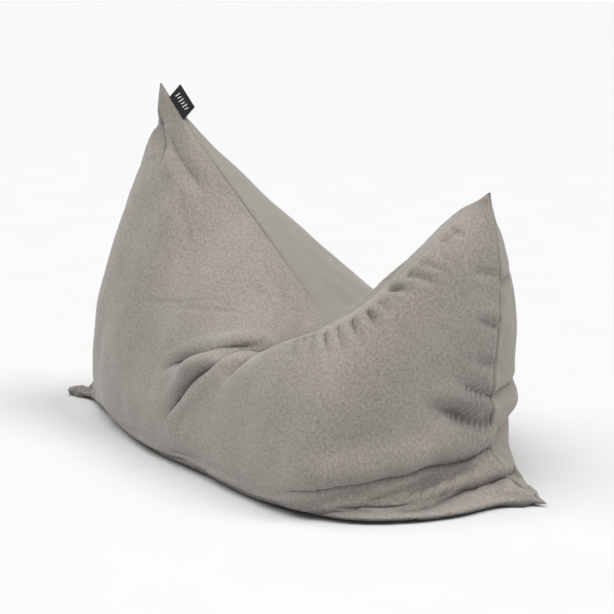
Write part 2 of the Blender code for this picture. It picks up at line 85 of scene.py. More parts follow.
SINK_UP = [(0, 0.0), (0.70, 0.0), (0.75, 0.16), (0.79, 0.5), (0.83, 0.78), (0.86, 0.94), (0.9, 1.0),
           (0.94, 0.94), (0.98, 0.58), (1, 0.0)]
FLAP_DIRECTION = (0.86, -0.51)
FLAP_REACH = [(0, 0.0), (0.76, 0.0), (0.80, 0.015), (0.84, 0.044), (0.87, 0.056), (0.90, 0.056),
              (0.93, 0.050), (0.96, 0.042), (0.98, 0.026), (1, 0.0)]
FLAP_TOP = [(0, 0.020), (0.90, 0.020), (0.95, 0.030), (1, 0.045)]
WALL = REACH * WALL_REACH
WALL_SIDE = 0.2                  # only the cloth round the zipper lies further back than this
FACE = 0.0012                    # outer face of the cloth past the CAD's


def hermite(knots, values, where):
    slopes = np.gradient(values, knots, axis=0)
    cell = np.clip(np.searchsorted(knots, where, side="right") - 1, 0, len(knots) - 2)
    width = knots[cell + 1] - knots[cell]
    share = (where - knots[cell]) / width
    if values.ndim == 2:
        width = width[..., None]
        share = share[..., None]
    square = share ** 2
    cube = share ** 3
    return ((2 * cube - 3 * square + 1) * values[cell] + (cube - 2 * square + share) * width * slopes[cell]
            + (3 * square - 2 * cube) * values[cell + 1] + (cube - square) * width * slopes[cell + 1])


def table(rows, where):
    rows = np.asarray(rows, float)
    return hermite(rows[:, 0], rows[:, 1], np.asarray(where, float))


def edge(points, where):
    points = np.asarray(points, float) * (LENGTH / 2, EAR_HEIGHT)
    steps = np.linalg.norm(np.diff(points, axis=0), axis=1)
    knots = np.concatenate(([0.0], np.cumsum(steps))) / steps.sum()
    return hermite(knots, points, np.asarray(where, float))


def top_edge(u):
    left = edge(TOP_LEFT, np.clip(2 * u, 0, 1))
    right = edge(TOP_RIGHT, np.clip(2 * u - 1, 0, 1))
    return np.where((u < 0.5)[..., None], left, right)


def bottom_edge(u):
    return np.stack([LENGTH * (u - 0.5), np.zeros_like(u)], -1)


def section(v, base, top, waist):
    lower = v < 0.5
    angle = np.where(lower, v, 1 - v) * math.pi
    power = 2 / np.where(lower, base, top)
    swell = np.sin(angle).clip(0) ** power
    rise = np.cos(angle).clip(0) ** power
    lifted = np.maximum(1 - rise - FLOOR_FLAT, 0) / (1 - FLOOR_FLAT)
    return swell, np.where(lower, waist * lifted, waist + (1 - waist) * rise)


def coons(u, s):
    across = u[..., None]
    up = s[..., None]
    corners = [np.array(p) * (LENGTH / 2, EAR_HEIGHT) for p in (LEFT[0], RIGHT[0], LEFT[-1], RIGHT[-1])]
    flat = ((1 - across) * (1 - up) * corners[0] + across * (1 - up) * corners[1]
            + (1 - across) * up * corners[2] + across * up * corners[3])
    return ((1 - up) * bottom_edge(u) + up * top_edge(u) + (1 - across) * edge(LEFT, s)
            + across * edge(RIGHT, s) - flat)


def smooth(share):
    share = np.clip(share, 0, 1)
    return share * share * (3 - 2 * share)


def base_surface(u, v, side):
    """Panel (side -1 front, 1 back) at shares u along the bag and v round its section, seam at y = 0."""
    front = side < 0
    swell = REACH * table(FRONT_SWELL if front else BACK_SWELL, u)
    seat = np.exp(-((u - 0.5) / SEAT_WIDTH) ** 2) if front else 0.0
    out, rise = section(v, table(FRONT_BASE if front else BACK_BASE, u),
                        table(FRONT_TOP if front else BACK_TOP, u), WAIST + SEAT_WAIST * seat)
    full = np.clip(swell / FULL_SWELL, 0, 1)
    rise = v * (1 - full) + rise * full
    lean = 0.6 if front else 0.4
    x = coons(u, lean * v + (1 - lean) * rise)[..., 0]
    z = coons(u, rise)[..., 1].clip(0)
    y = side * swell * out
    if front:
        z = z - SEAT_SINK * table(SINK_ALONG, u).clip(0) * table(SINK_UP, v).clip(0)
    if not front:
        past = np.hypot(np.maximum(abs(x) - ZIP_LENGTH / 2, 0), z - ZIP_HEIGHT)
        near = smooth((y / WALL - WALL_NEAR[0]) / (WALL_NEAR[1] - WALL_NEAR[0]))
        flat = near * smooth(1 - (past - WALL_MARGIN) / WALL_BLEND)
        y = y + (WALL - y) * flat
    return np.stack([x, y, z], -1)


def flap(u, v, z):
    """Loose cloth that lies on the floor in front of the right corner."""
    amount = table(FLAP_REACH, u).clip(0) * smooth(v / 0.2) * smooth(1 - z / table(FLAP_TOP, u)) * (v < 0.5)
    return amount[..., None] * np.array([*FLAP_DIRECTION, 0.0])


def new_object(name, data):
    made = bpy.data.objects.new(name, data)
    bpy.context.scene.collection.objects.link(made)
    return made


# ---- sculpting: every fold follows a short path on the panel, in metres, with the seam at y = 0 ----


def on_path(points, path):
    """Distance to a polyline, share of its length at the nearest place, that place, and its direction."""
    path = np.asarray(path, float)
    steps = np.diff(path, axis=0)
    lengths = np.linalg.norm(steps, axis=1)
    starts = np.concatenate(([0.0], np.cumsum(lengths)))
    best = np.full(points.shape[:-1], 1e9)
    share = np.zeros_like(best)
    foot = np.zeros_like(points)
    run = np.zeros_like(points)
    for k, step in enumerate(steps):
        t = np.clip(((points - path[k]) @ step) / lengths[k] ** 2, 0, 1)
        place = path[k] + t[..., None] * step
        gap = np.linalg.norm(points - place, axis=-1)
        closer = gap < best
        best = np.where(closer, gap, best)
        share = np.where(closer, (starts[k] + t * lengths[k]) / starts[-1], share)
        foot = np.where(closer[..., None], place, foot)
        run = np.where(closer[..., None], step / lengths[k], run)
    return best, share, foot, run


def refine(path, times=6):
    """Short listed path made smooth."""
    path = np.asarray(path, float)
    if len(path) < 3:
        return path
    steps = np.linalg.norm(np.diff(path, axis=0), axis=1)
    knots = np.concatenate(([0.0], np.cumsum(steps))) / steps.sum()
    return hermite(knots, path, np.linspace(0, 1, times * (len(path) - 1) + 1))


FLOOR_FADE = 0.014               # folds fade out below this height
SHADE_WIDTH = 0.0045
SHADE_DEPTH = 0.022              # a fold as deep as this gets the full painted shade
rest = {}


def lay(path):
    """Path laid onto the smooth panel that is being sculpted, with its distances from every point there."""
    path = refine(path)
    flat = rest["points"].reshape(-1, 3)
    path = np.array([flat[np.argmin(((flat - place) ** 2).sum(-1))] for place in path])
    keep = np.concatenate([[True], np.linalg.norm(np.diff(path, axis=0), axis=1) > 1e-5])
    path = path[keep]
    for _ in range(6):
        path[1:-1] = (path[:-2] + 2 * path[1:-1] + path[2:]) / 4
    return on_path(rest["points"], path)


def ends(share, first=0.25, last=0.25):
    first = smooth(share / first) if first else 1.0
    last = smooth((1 - share) / last) if last else 1.0
    return first * last


def fold(points, normals, path, depth, width, above=0.0, below=0.0, lip=0.03, tuck=0.0, fade=(0.25, 0.25),
         step=1.0, sharp=1.4):
    """Groove along a path, with shade painted into the cloth's colour where it is deep.

    Cloth above it swells by above and hangs over by tuck; cloth below it swells by below. The groove is step
    times wider below the path than above it, and its bottom is keener the less sharp is."""
    gap, share, foot, run = lay(path)
    up = np.cross(run, normals)
    up = up / np.maximum(np.linalg.norm(up, axis=-1), 1e-9)[..., None]
    up = up * np.sign(up[..., 2] + 1e-6)[..., None]
    height = ((rest["points"] - foot) * up).sum(-1)
    strength = ends(share, *fade) * smooth(rest["points"][..., 2] / FLOOR_FADE)
    reach = width * np.where(height > 0, 1.0, step)
    groove = np.exp(-(gap / reach) ** sharp)
    # Painted shade: how much the cloth's colour is darkened along the bottom of the groove.
    deep = strength * np.exp(-(gap / SHADE_WIDTH) ** 2) * min(depth / SHADE_DEPTH, 1.0) ** 1.5
    rest["shade"] = np.maximum(rest["shade"], deep)
    rim = np.exp(-((gap - lip) / (0.62 * lip)) ** 2) * (1 - groove)
    move = -depth * groove + np.where(height > 0, above, below) * rim
    hang = -tuck * np.exp(-(gap / (1.6 * lip)) ** 2) * smooth(height / (0.3 * lip) + 0.3)
    return points + normals * (move * strength)[..., None] + up * (hang * strength)[..., None]


def pinch(points, place, move, width):
    """Cloth near a place carried along with it."""
    pull = np.exp(-(np.linalg.norm(points - np.asarray(place), axis=-1) / width) ** 2)
    return points + pull[..., None] * np.asarray(move)


def nip_ear(points):
    """Taller ear's tip nipped in below."""
    points = pinch(points, (-0.332, 0.0, 0.655), (0.012, 0.0, -0.002), 0.020)
    return pinch(points, (-0.352, 0.0, 0.600), (-0.006, 0.0, 0.0), 0.030)


def ridge(points, normals, path, height, width, fade=(0.3, 0.3)):
    gap, share, _, _ = lay(path)
    return points + normals * (height * np.exp(-(gap / width) ** 2) * ends(share, *fade))[..., None]


def normals_of(points, side):
    along = np.gradient(points, axis=1)
    up = np.gradient(points, axis=0)
    normal = np.cross(along, up) * -side
    length = np.linalg.norm(normal, axis=-1)
    return normal / np.maximum(length, 1e-12)[..., None]


def waves(points, seed, size, count=14):
    """Smooth field of random waves about a size across, from -1 to 1."""
    rng = np.random.default_rng(seed)
    total = np.zeros(points.shape[:-1])
    for _ in range(count):
        direction = rng.normal(size=3)
        direction = direction / np.linalg.norm(direction)
        turn = points @ direction * (2 * math.pi / size) * rng.uniform(0.6, 1.5)
        total = total + np.sin(turn + rng.uniform(0, 7))
    return total / math.sqrt(count)


FRONT_GATHERS = [
    # start on the shoulder, end down the front, depth
    ((0.262, -0.262, 0.318), (0.285, -0.300, 0.278), 0.0035),
    ((0.283, -0.262, 0.322), (0.305, -0.302, 0.280), 0.0045),
    ((0.305, -0.262, 0.326), (0.330, -0.300, 0.288), 0.0040),
    ((0.329, -0.258, 0.334), (0.361, -0.291, 0.298), 0.0050),
    ((0.352, -0.250, 0.345), (0.385, -0.280, 0.308), 0.0040),
    ((0.374, -0.240, 0.360), (0.410, -0.262, 0.326), 0.0060),
    ((0.393, -0.226, 0.378), (0.436, -0.238, 0.330), 0.0070),
    ((0.403, -0.210, 0.398), (0.450, -0.200, 0.350), 0.0045),
    ((0.408, -0.184, 0.418), (0.453, -0.168, 0.404), 0.0085),
    ((0.426, -0.154, 0.439), (0.475, -0.130, 0.420), 0.0055),
    ((0.438, -0.133, 0.454), (0.486, -0.105, 0.433), 0.0040),
    ((0.455, -0.080, 0.497), (0.481, -0.075, 0.484), 0.0035),
    ((0.463, -0.066, 0.508), (0.503, -0.043, 0.484), 0.0050),
]


BACK_GATHERS = [
    ((0.255, 0.255, 0.305), (0.290, 0.290, 0.255), 0.007),
    ((0.300, 0.235, 0.330), (0.335, 0.262, 0.280), 0.006),
    ((0.225, 0.275, 0.275), (0.250, 0.305, 0.225), 0.007),
    ((0.345, 0.205, 0.365), (0.385, 0.225, 0.325), 0.006),
    ((0.045, 0.290, 0.290), (0.000, 0.315, 0.240), 0.007),
    ((-0.005, 0.275, 0.330), (-0.055, 0.300, 0.285), 0.006),
    ((0.085, 0.300, 0.255), (0.055, 0.320, 0.205), 0.006),
    ((-0.065, 0.250, 0.380), (-0.110, 0.275, 0.330), 0.005),
]


def sculpt_front(points):
    side = -1
    points = nip_ear(points)
    n = normals_of(points, side)
    # The left floor corner is a small soft knob.
    points = ridge(points, n, [(-0.640, 0.0, 0.008), (-0.600, -0.012, 0.016), (-0.575, -0.020, 0.020)],
                   0.012, 0.020, (0.2, 0.4))
    points = ridge(points, n, [(-0.575, -0.002, 0.040), (-0.560, -0.030, 0.026), (-0.545, -0.060, 0.010)],
                   -0.008, 0.012, (0.1, 0.3))
    # The crease that runs from the seat down the front, under the roll of the left half.
    n = normals_of(points, side)
    points = fold(points, n, [(0.165, -0.200, 0.285), (0.119, -0.223, 0.271), (0.075, -0.244, 0.258),
                              (0.033, -0.256, 0.225), (-0.006, -0.257, 0.188), (-0.052, -0.253, 0.139),
                              (-0.110, -0.243, 0.065)],
                  0.023, 0.010, 0.012, 0.006, 0.028, 0.020, (0.15, 0.55), 1.0, 1.2)
    n = normals_of(points, side)
    points = fold(points, n, [(0.150, -0.180, 0.284), (0.101, -0.218, 0.280), (0.053, -0.230, 0.271),
                              (0.015, -0.231, 0.256), (-0.035, -0.231, 0.230), (-0.092, -0.228, 0.203),
                              (-0.130, -0.224, 0.172)], 0.012, 0.009, 0.003, 0.007, 0.020, 0.005, (0.2, 0.35))
    points = ridge(points, n, [(0.070, -0.243, 0.264), (0.030, -0.246, 0.246), (-0.020, -0.246, 0.215),
                               (-0.075, -0.240, 0.185)], 0.006, 0.009, (0.2, 0.4))
    points = fold(points, n, [(0.050, -0.250, 0.238), (0.000, -0.250, 0.206), (-0.045, -0.250, 0.160),
                              (-0.080, -0.247, 0.112)], 0.007, 0.009, 0.002, 0.004, 0.020, 0.0, (0.3, 0.5))
    points = ridge(points, n, [(0.010, -0.262, 0.160), (-0.030, -0.260, 0.105), (-0.060, -0.258, 0.060)],
                   -0.003, 0.016, (0.4, 0.5))
    # The overhang above the base, at the right.
    n = normals_of(points, side)
    points = fold(points, n, [(0.270, -0.345, 0.038), (0.330, -0.344, 0.062), (0.385, -0.325, 0.082),
                              (0.420, -0.280, 0.091), (0.462, -0.198, 0.096), (0.480, -0.142, 0.099),
                              (0.498, -0.070, 0.101), (0.518, 0.0, 0.107)],
                  0.028, 0.006, 0.014, -0.002, 0.034, 0.027, (0.45, 0.0), 2.4)
    n = normals_of(points, side)
    points = ridge(points, n, [(0.300, -0.345, 0.020), (0.380, -0.310, 0.048), (0.450, -0.215, 0.058)],
                   -0.006, 0.012, (0.4, 0.4))
    points = ridge(points, n, [(0.400, -0.290, 0.045), (0.455, -0.205, 0.060), (0.505, -0.090, 0.078)],
                   0.004, 0.010, (0.4, 0.4))
    points = ridge(points, n, [(0.440, -0.225, 0.036), (0.485, -0.130, 0.052), (0.520, -0.030, 0.068)],
                   -0.004, 0.009, (0.4, 0.1))
    # The corner flap lies flat on the floor in front of its crease.
    n = normals_of(points, side)
    points = fold(points, n, [(0.415, -0.258, 0.006), (0.440, -0.225, 0.010), (0.473, -0.183, 0.016),
                              (0.498, -0.126, 0.024), (0.525, -0.065, 0.034), (0.549, -0.004, 0.043)],
                  0.016, 0.006, 0.010, 0.004, 0.022, 0.014, (0.35, 0.0), 1.6)
    n = normals_of(points, side)
    points = ridge(points, n, [(0.555, -0.030, 0.030), (0.590, -0.018, 0.018), (0.625, -0.006, 0.010)],
                   0.013, 0.022, (0.2, 0.3))
    # Pinches at the right seam.
    points = fold(points, n, [(0.470, -0.185, 0.216), (0.497, -0.097, 0.178), (0.511, -0.030, 0.152),
                              (0.516, 0.0, 0.147)],
                  0.015, 0.014, 0.007, 0.008, 0.032, 0.0, (0.5, 0.0), 1.0, 1.9)
    points = fold(points, n, [(0.494, -0.110, 0.248), (0.512, -0.040, 0.207), (0.518, 0.0, 0.192)],
                  0.010, 0.009, 0.004, 0.005, 0.022, 0.002, (0.6, 0.0))
    points = fold(points, n, [(0.480, -0.150, 0.150), (0.500, -0.075, 0.132), (0.516, -0.005, 0.124)],
                  0.005, 0.009, 0.003, 0.004, 0.018, 0.0, (0.5, 0.1))
    points = fold(points, n, [(0.512, -0.075, 0.362), (0.524, -0.025, 0.333), (0.530, 0.0, 0.322)],
                  0.007, 0.008, 0.003, 0.003, 0.020, 0.0, (0.5, 0.1))
    points = fold(points, n, [(0.506, -0.070, 0.283), (0.518, -0.020, 0.257), (0.523, 0.0, 0.250)],
                  0.006, 0.008, 0.002, 0.002, 0.018, 0.0, (0.5, 0.1))
    points = fold(points, n, [(0.505, -0.070, 0.440), (0.520, -0.025, 0.425), (0.529, 0.0, 0.420)],
                  0.004, 0.008, 0.002, 0.002, 0.018, 0.0, (0.5, 0.1))
    for number, (start, end, depth) in enumerate(FRONT_GATHERS):
        start, end = np.array(start), np.array(end)
        reach = 1.15 + 0.45 * math.sin(5.1 * number)
        bend = np.array([0.004 * math.sin(2.3 * number), 0, 0.003])
        path = [start, (start + end) / 2 + bend, start + reach * (end - start)]
        points = fold(points, n, path, 1.15 * depth, 0.0072, 0.55 * depth, 0.55 * depth, 0.015, 0.0,
                      (0.06, 0.8), 1.0, 1.5)
    # The taller ear: its flank turns away behind a ridge, with a drape line from the tip.
    points = fold(points, n, [(-0.330, -0.004, 0.668), (-0.305, -0.016, 0.636), (-0.285, -0.028, 0.604),
                              (-0.300, -0.050, 0.545)],
                  0.012, 0.010, 0.000, 0.006, 0.026, 0.0, (0.1, 0.5), 1.6)
    points = fold(points, n, [(-0.290, -0.017, 0.645), (-0.249, -0.030, 0.599), (-0.211, -0.036, 0.566),
                              (-0.166, -0.042, 0.530), (-0.120, -0.050, 0.492)],
                  0.008, 0.012, 0.004, 0.004, 0.028, 0.0, (0.2, 0.5))
    points = fold(points, n, [(-0.215, -0.060, 0.540), (-0.170, -0.090, 0.470), (-0.118, -0.103, 0.405)],
                  0.004, 0.016, 0.002, 0.002, 0.032, 0.0, (0.4, 0.4))
    points = ridge(points, n, [(0.000, -0.110, 0.375), (0.060, -0.100, 0.340), (0.115, -0.100, 0.304)],
                   -0.005, 0.011, (0.4, 0.1))
    points = ridge(points, n, [(0.070, -0.060, 0.355), (0.110, -0.060, 0.320), (0.140, -0.070, 0.290)],
                   -0.006, 0.012, (0.3, 0.1))
    # Fold lines left from packing.
    points = ridge(points, n, [(-0.270, -0.155, 0.305), (-0.086, -0.172, 0.321), (0.033, -0.140, 0.338)],
                   -0.0022, 0.0045)
    points = ridge(points, n, [(-0.150, -0.180, 0.308), (-0.030, -0.172, 0.314), (0.060, -0.150, 0.306)],
                   -0.0022, 0.0050)
    return points


def sculpt_back(points):
    side = 1
    points = nip_ear(points)
    n = normals_of(points, side)
    points = ridge(points, n, [(-0.640, 0.0, 0.008), (-0.600, 0.012, 0.016), (-0.575, 0.020, 0.020)],
                   0.010, 0.020, (0.2, 0.4))
    # The base overhang and the pinches carry on round the right seam.
    points = fold(points, n, [(0.518, 0.0, 0.107), (0.505, 0.045, 0.116), (0.490, 0.100, 0.128),
                              (0.460, 0.165, 0.134), (0.400, 0.235, 0.125)],
                  0.020, 0.007, 0.010, -0.002, 0.028, 0.012, (0.0, 0.5), 2.2)
    points = fold(points, n, [(0.516, 0.0, 0.190), (0.505, 0.060, 0.192), (0.480, 0.125, 0.190),
                              (0.430, 0.190, 0.182)], 0.010, 0.008, 0.003, 0.004, 0.022, 0.004, (0.0, 0.5))
    points = fold(points, n, [(0.532, 0.0, 0.400), (0.515, 0.045, 0.408), (0.490, 0.090, 0.410)],
                  0.008, 0.009, 0.004, 0.004, 0.022, 0.0, (0.1, 0.5))
    points = fold(points, n, [(0.549, 0.0, 0.043), (0.530, 0.060, 0.034), (0.495, 0.120, 0.020)],
                  0.012, 0.007, 0.008, 0.002, 0.022, 0.010, (0.0, 0.4), 1.6)
    points = ridge(points, n, [(0.555, 0.025, 0.026), (0.590, 0.014, 0.016), (0.625, 0.005, 0.010)],
                   0.010, 0.020, (0.2, 0.3))
    # Gathers where the seat pulls the back in.
    for number, (start, end, depth) in enumerate(BACK_GATHERS):
        start, end = np.array(start), np.array(end)
        reach = 1.5 + 0.6 * math.sin(4.3 * number)
        bend = np.array([0.006 * math.sin(2.9 * number), 0, 0])
        path = [start, (start + end) / 2 + bend, start + reach * (end - start)]
        points = fold(points, n, path, 0.6 * depth, 0.010, 0.3 * depth, 0.3 * depth, 0.022, 0.0, (0.3, 0.65),
                      1.0, 1.5)
    points = fold(points, n, [(0.160, 0.030, 0.262), (0.158, 0.150, 0.258), (0.150, 0.250, 0.240),
                              (0.120, 0.315, 0.190)], 0.012, 0.013, 0.003, 0.003, 0.034, 0.0, (0.3, 0.4))
    return points


def edge_distances(points):
    """Distance of each grid point from the left, right, lower and upper edge, along the grid's lines."""
    along = np.linalg.norm(np.diff(points, axis=1), axis=-1)
    up = np.linalg.norm(np.diff(points, axis=0), axis=-1)
    left = np.concatenate([np.zeros((len(points), 1)), np.cumsum(along, axis=1)], axis=1)
    low = np.concatenate([np.zeros((1, points.shape[1])), np.cumsum(up, axis=0)], axis=0)
    return left, left[:, -1:] - left, low, low[-1:] - low


def seam_distance(points):
    return np.minimum.reduce(edge_distances(points))


def shares(count, near=True):
    """Even shares with extra ones close to both ends, where the seam is."""
    even = np.linspace(0, 1, count + 1)[1:-1]
    if not near:
        return np.concatenate([[0.0], even, [1.0]])
    close = np.array([0.30, 0.62]) * even[0]
    return np.concatenate([[0.0], close, even, 1 - close[::-1], [1.0]])


def on_wall(points):
    """1 on the flat cloth round the zipper, falling to 0 away from it."""
    past = np.hypot(np.maximum(abs(points[..., 0]) - ZIP_LENGTH / 2, 0), points[..., 2] - ZIP_HEIGHT)
    return np.where(points[..., 1] > WALL_SIDE, smooth(1 - (past - 0.025) / 0.05), 0.0)


def sculpted(side, u, v):
    """Sculpted panel and how far it moved from the smooth one."""
    grid = np.meshgrid(u, v)
    start = base_surface(grid[0], grid[1], side)
    rest["points"] = start
    rest["shade"] = np.zeros(start.shape[:-1])
    points = sculpt_front(start) if side < 0 else sculpt_back(start)
    if side < 0:
        points = points + flap(grid[0], grid[1], start[..., 2])
    n = normals_of(points, side)
    free = smooth(seam_distance(points) / 0.06) * smooth(points[..., 2] / 0.05) * (1 - on_wall(points))
    lumps = 0.0020 * waves(points, 3, 0.17) + 0.0008 * waves(points, 5, 0.08)
    return start, points + n * (lumps * free)[..., None], rest["shade"]


def join_seam(front, back, start_front, start_back):
    """Both panels take the same seam: half of each one's move, eased in over a few centimetres."""
    result = []
    for own, own_start, other, other_start in ((front, start_front, back, start_back),
                                               (back, start_back, front, start_front)):
        half = ((other - other_start) - (own - own_start)) / 2
        left, right, low, high = edge_distances(own_start)
        ease = [np.exp(-(gap / 0.028) ** 2)[..., None] for gap in (left, right, low, high)]
        moved = (own + ease[0] * half[:, :1] + ease[1] * half[:, -1:]
                 + ease[2] * half[:1] + ease[3] * half[-1:])
        for place in (np.s_[:, 0], np.s_[:, -1], np.s_[0], np.s_[-1]):
            moved[place] = own[place] + half[place]
        result.append(moved)
    return result


def finish_panel(points, side):
    """Outer face of the cloth: it dips into the seam, puckers along it, and rests on the floor."""
    n = normals_of(points, side)
    gap = seam_distance(points)
    pucker = 0.5 + 0.5 * waves(points, 11, 0.024, 10)
    out = (CLOTH + FACE) * smooth(gap / 0.0045) - 0.0015 * (gap == 0)
    out = out + (0.0006 + 0.0014 * pucker) * np.exp(-((gap - 0.009) / 0.006) ** 2) * (gap > 0)
    floor_near = smooth(points[..., 2] / 0.02)
    out = out * np.where(gap < 0.03, 0.4 + 0.6 * floor_near, 1.0)
    points = points + n * out[..., None]
    points[..., 2] = np.maximum(points[..., 2] + CLOTH * 0.5, 0.0004)
    points[..., 1] += SEAM_Y
    return points


SETTLE_FRAMES = 26
SETTLE_CAP = 0.006
CLOTH_SETTINGS = {
    "quality": 6, "mass": 0.3, "tension_stiffness": 20, "compression_stiffness": 20, "shear_stiffness": 8,
    "bending_stiffness": 0.6, "tension_damping": 12, "compression_damping": 12, "shear_damping": 8,
    "air_damping": 3, "vertex_group_mass": "held", "pin_stiffness": 1.0, "vertex_group_shrink": "spare",
    "shrink_min": 0.0, "shrink_max": -0.07, "use_pressure": True, "uniform_pressure_force": 0.05,
}


def settle(front, back, grow_front, grow_back, hold_front, hold_back):
    """Cloth simulation of the closed cover. Spare cloth in the gathers buckles over the filling's push."""
    rows, columns = front.shape[:2]
    inner = np.zeros((rows, columns), bool)
    inner[1:-1, 1:-1] = True
    front_index = np.arange(rows * columns).reshape(rows, columns)
    back_index = front_index.copy()
    back_index[inner] = rows * columns + np.arange(inner.sum())
    verts = np.concatenate([front.reshape(-1, 3), back[inner]])
    grow = np.concatenate([grow_front.ravel(), grow_back[inner]])
    hold = np.concatenate([hold_front.ravel(), hold_back[inner]])
    faces = []
    for index, flip in ((front_index, False), (back_index, True)):
        quads = np.stack([index[:-1, :-1], index[:-1, 1:], index[1:, 1:], index[1:, :-1]], -1).reshape(-1, 4)
        faces.append(quads[:, ::-1] if flip else quads)
    mesh = bpy.data.meshes.new("settling")
    mesh.from_pydata(verts.tolist(), [], np.concatenate(faces).tolist())
    cloth = new_object("settling", mesh)
    held = cloth.vertex_groups.new(name="held")
    spare = cloth.vertex_groups.new(name="spare")
    for group, weights in ((held, hold), (spare, grow)):
        steps = np.round(weights * 40).astype(int)
        for step in np.unique(steps):
            group.add(np.nonzero(steps == step)[0].tolist(), float(step) / 40, "REPLACE")
    ground_mesh = bpy.data.meshes.new("ground")
    ground_mesh.from_pydata([(-2, -2, 0), (2, -2, 0), (2, 2, 0), (-2, 2, 0)], [], [(0, 1, 2, 3)])
    ground = new_object("ground", ground_mesh)
    ground.location = (0, 0, -0.004)
    ground.modifiers.new("hit", "COLLISION")
    settings = cloth.modifiers.new("cloth", "CLOTH").settings
    for key, value in CLOTH_SETTINGS.items():
        setattr(settings, key, value)
    hits = cloth.modifiers["cloth"].collision_settings
    hits.use_collision = True
    hits.distance_min = 0.003
    hits.use_self_collision = False
    clock = bpy.context.scene
    clock.frame_start = 1
    clock.frame_end = SETTLE_FRAMES
    cloth.modifiers["cloth"].point_cache.frame_start = 1
    cloth.modifiers["cloth"].point_cache.frame_end = SETTLE_FRAMES
    for frame_number in range(1, SETTLE_FRAMES + 1):
        clock.frame_set(frame_number)
    done = cloth.evaluated_get(bpy.context.evaluated_depsgraph_get()).to_mesh()
    after = np.empty(len(done.vertices) * 3, dtype=np.float32)
    done.vertices.foreach_get("co", after)
    move = after.reshape(-1, 3).astype(float) - verts
    size = np.linalg.norm(move, axis=-1)
    move = move * (np.tanh(size / SETTLE_CAP) * SETTLE_CAP / np.maximum(size, 1e-9))[:, None]
    bpy.data.objects.remove(cloth)
    bpy.data.objects.remove(ground)
    clock.frame_set(1)
    return move[front_index], move[back_index]


def spread_out(move, coarse_u, coarse_v, u, v):
    """Displacement known on a coarse grid carried to the fine one, smoothly."""
    by_row = hermite(coarse_v, move.reshape(len(coarse_v), -1), v)
    by_row = by_row.reshape(len(v), len(coarse_u), 3).transpose(1, 0, 2).reshape(len(coarse_u), -1)
    full = hermite(coarse_u, by_row, u)
    return full.reshape(len(u), len(v), 3).transpose(1, 0, 2)


def grid_mesh(name, points, u, v, side):
    rows, columns = points.shape[:2]
    index = np.arange(rows * columns).reshape(rows, columns)
    quads = np.stack([index[:-1, :-1], index[:-1, 1:], index[1:, 1:], index[1:, :-1]], -1).reshape(-1, 4)
    if side > 0:
        quads = quads[:, ::-1]
    mesh = bpy.data.meshes.new(name)
    mesh.from_pydata(points.reshape(-1, 3).tolist(), [], quads.tolist())
    layer = mesh.uv_layers.new(name="cloth")
    left, _, low, _ = edge_distances(points)
    middle = np.searchsorted(u, 0.55)
    flat = np.stack([left - left[:, middle:middle + 1], low], -1).reshape(-1, 2)
    loops = np.empty(len(mesh.loops), dtype=np.int32)
    mesh.loops.foreach_get("vertex_index", loops)
    layer.data.foreach_set("uv", flat[loops].astype(np.float32).ravel())
    mesh.shade_smooth()
    return new_object(name, mesh)


SLOT_AREA = 0.03                 # the cut looks no further from the slot than this
SLOT_MISS = 0.001


def cut_zipper(thing):
    """Slot in the back panel along the zipper, its edges turned in as narrow hems."""
    work = bmesh.new()
    work.from_mesh(thing.data)
    low = ZIP_HEIGHT + CLOTH / 2 - SLOT / 2
    high = low + SLOT
    half = ZIP_LENGTH / 2 + SLOT_SPARE

    def close(face):
        middle = face.calc_center_median()
        return (middle.y > WALL_SIDE and abs(middle.x) < half + SLOT_AREA
                and low - SLOT_AREA < middle.z < high + SLOT_AREA)

    for place, across in (((0, 0, low), (0, 0, 1)), ((0, 0, high), (0, 0, 1)), ((-half, 0, 0), (1, 0, 0)),
                          ((half, 0, 0), (1, 0, 0))):
        faces = [face for face in work.faces if close(face)]
        edges = {edge for face in faces for edge in face.edges}
        points = {vert for face in faces for vert in face.verts}
        bmesh.ops.bisect_plane(work, geom=list(points) + list(edges) + faces, plane_co=place, plane_no=across,
                               dist=1e-6)
    gone = []
    for face in work.faces:
        middle = face.calc_center_median()
        if middle.y > WALL_SIDE and abs(middle.x) < half and low < middle.z < high:
            gone.append(face)
    bmesh.ops.delete(work, geom=gone, context="FACES")
    rim_edges = [e for e in work.edges if e.is_boundary
                 and (e.verts[0].co.y + e.verts[1].co.y) / 2 > WALL_SIDE
                 and abs(e.verts[0].co.x) < half + SLOT_MISS
                 and low - SLOT_MISS < e.verts[0].co.z < high + SLOT_MISS]
    turned = bmesh.ops.extrude_edge_only(work, edges=rim_edges)
    for vert in [item for item in turned["geom"] if isinstance(item, bmesh.types.BMVert)]:
        vert.co.y -= CLOTH
    work.to_mesh(thing.data)
    work.free()
    thing.data.shade_smooth()


def stitch_row(name, places, out, length, width):
    """Row of short raised stitches, each a small flattened hexagon, from a list of middles and directions."""
    corners = []
    faces = []
    for middle, along, across in places:
        first = len(corners)
        for step, (share, wide, lift) in enumerate(((-0.5, 0.0, 0.0), (-0.3, 0.5, 0.6), (0.3, 0.5, 0.6),
                                                    (0.5, 0.0, 0.0), (0.3, -0.5, 0.6), (-0.3, -0.5, 0.6))):
            corners.append(middle + along * share * length + across * wide * width + out * lift * width)
        corners.append(middle + out * width)
        faces += [(first + k, first + (k + 1) % 6, first + 6) for k in range(6)]
    mesh = bpy.data.meshes.new(name)
    mesh.from_pydata([tuple(c) for c in corners], [], faces)
    mesh.shade_smooth()
    made = new_object(name, mesh)
    made.data.materials.append(thread_look)
    return made


# ---- materials ----


def new_material(name):
    look = bpy.data.materials.new(name)
    look.use_nodes = True
    look.node_tree.nodes.clear()
    return look, look.node_tree


def add(tree, kind, **values):
    made = tree.nodes.new(kind)
    for key, value in values.items():
        if hasattr(made, key):
            setattr(made, key, value)
        else:
            made.inputs[key.replace("_", " ")].default_value = value
    return made


